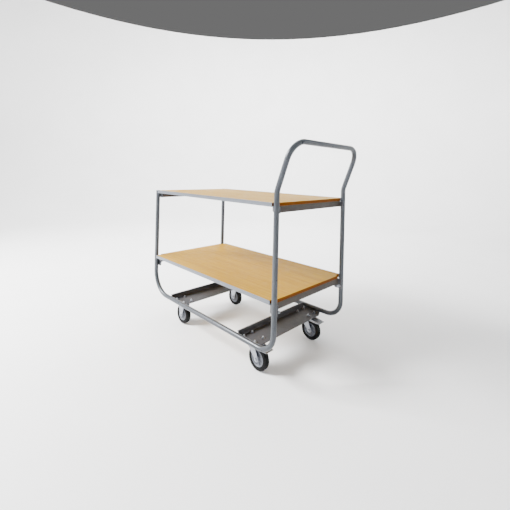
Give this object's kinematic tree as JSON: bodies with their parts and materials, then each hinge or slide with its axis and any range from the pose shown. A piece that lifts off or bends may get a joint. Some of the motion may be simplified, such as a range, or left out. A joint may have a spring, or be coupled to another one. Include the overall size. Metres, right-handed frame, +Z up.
{
  "type": "two-tier shelf trolley",
  "caption": "Two-tier tubular trolley with board shelves, a leaning push handle, fixed front casters and braked swivel rear casters.",
  "frame": {"origin": "on the floor, under the centre of the whole trolley's bounding box", "axes": "+X from the front to the push handle, +Y to the side on the right of a pusher who faces the front, +Z up"},
  "size_m": [1.24, 0.627, 1.1805],
  "materials": {
    "tube_paint": "semi-gloss silver-grey enamel over welded round tube",
    "rail_paint": "semi-gloss silver-grey enamel",
    "bracket_paint": "semi-gloss silver-grey enamel",
    "carrier_paint": "satin grey enamel on folded sheet",
    "board_laminate": "golden beech laminate with an orange-brown edge band",
    "zinc_steel": "bright zinc plate",
    "pedal_steel": "zinc-plated pressed steel",
    "rim_grey": "grey moulded rim",
    "tyre_rubber": "black solid rubber",
    "cap_plastic": "grey plug"
  },
  "bodies": {
    "frame": {"board_screws": "zinc_steel", "caster_bolts": "zinc_steel", "caster_carrier_front": "carrier_paint", "caster_carrier_rear": "carrier_paint", "caster_nuts": "zinc_steel", "front_axle_bolt": "zinc_steel", "front_axle_nut": "zinc_steel", "front_left_axle_sleeve": "zinc_steel", "front_left_fork": "zinc_steel", "front_right_axle_sleeve": "zinc_steel", "front_right_fork": "zinc_steel", "lower_board": "board_laminate", "lower_bracket_front_left": "bracket_paint", "lower_bracket_front_right": "bracket_paint", "lower_bracket_rear_left": "bracket_paint", "lower_bracket_rear_right": "bracket_paint", "lower_cross_member_front": "rail_paint", "lower_cross_member_rear": "rail_paint", "lower_edge_rail_left": "rail_paint", "lower_edge_rail_right": "rail_paint", "post_cap_left": "cap_plastic", "post_cap_right": "cap_plastic", "push_handle": "tube_paint", "rear_left_king_pin": "zinc_steel", "rear_left_top_plate": "zinc_steel", "rear_right_king_pin": "zinc_steel", "rear_right_top_plate": "zinc_steel", "shelf_bolts": "zinc_steel", "shelf_nuts": "zinc_steel", "side_frame_left": "tube_paint", "side_frame_right": "tube_paint", "upper_board": "board_laminate", "upper_bracket_front_left": "bracket_paint", "upper_bracket_front_right": "bracket_paint", "upper_bracket_rear_left": "bracket_paint", "upper_bracket_rear_right": "bracket_paint", "upper_cross_member_front": "rail_paint", "upper_cross_member_rear": "rail_paint", "upper_edge_rail_left": "rail_paint", "upper_edge_rail_right": "rail_paint"},
    "front_left_wheel": {"front_left_rim": "rim_grey", "front_left_tyre": "tyre_rubber"},
    "rear_left_swivel": {"rear_left_fork": "zinc_steel", "rear_left_axle_sleeve": "zinc_steel", "rear_left_axle_bolt": "zinc_steel", "rear_left_axle_nut": "zinc_steel"},
    "rear_left_wheel": {"rear_left_rim": "rim_grey", "rear_left_tyre": "tyre_rubber"},
    "rear_left_pedal": {"rear_left_brake_pedal": "pedal_steel"},
    "front_right_wheel": {"front_right_rim": "rim_grey", "front_right_tyre": "tyre_rubber"},
    "rear_right_swivel": {"rear_right_fork": "zinc_steel", "rear_right_axle_sleeve": "zinc_steel", "rear_right_axle_bolt": "zinc_steel", "rear_right_axle_nut": "zinc_steel"},
    "rear_right_wheel": {"rear_right_rim": "rim_grey", "rear_right_tyre": "tyre_rubber"},
    "rear_right_pedal": {"rear_right_brake_pedal": "pedal_steel"}
  },
  "joints": [
    {"name": "front_left_wheel_spin", "type": "hinge", "parent": "frame", "child": "front_left_wheel", "pos_m": [-0.3465, -0.23, 0.0625], "axis": [0, 1, 0], "continuous": true},
    {"name": "rear_left_swivel_turn", "type": "hinge", "parent": "frame", "child": "rear_left_swivel", "pos_m": [0.3185, -0.23, 0.135], "axis": [0, 0, 1], "continuous": true},
    {"name": "rear_left_wheel_spin", "type": "hinge", "parent": "rear_left_swivel", "child": "rear_left_wheel", "pos_m": [0.3605, -0.23, 0.0625], "axis": [0, 1, 0], "continuous": true},
    {"name": "rear_left_brake_press", "type": "hinge", "parent": "rear_left_swivel", "child": "rear_left_pedal", "pos_m": [0.3345, -0.23, 0.128], "axis": [0, 1, 0], "range_deg": [0, 8]},
    {"name": "front_right_wheel_spin", "type": "hinge", "parent": "frame", "child": "front_right_wheel", "pos_m": [-0.3465, 0.23, 0.0625], "axis": [0, 1, 0], "continuous": true},
    {"name": "rear_right_swivel_turn", "type": "hinge", "parent": "frame", "child": "rear_right_swivel", "pos_m": [0.3185, 0.23, 0.135], "axis": [0, 0, 1], "continuous": true},
    {"name": "rear_right_wheel_spin", "type": "hinge", "parent": "rear_right_swivel", "child": "rear_right_wheel", "pos_m": [0.3605, 0.23, 0.0625], "axis": [0, 1, 0], "continuous": true},
    {"name": "rear_right_brake_press", "type": "hinge", "parent": "rear_right_swivel", "child": "rear_right_pedal", "pos_m": [0.3345, 0.23, 0.128], "axis": [0, 1, 0], "range_deg": [0, 8]}
  ]
}
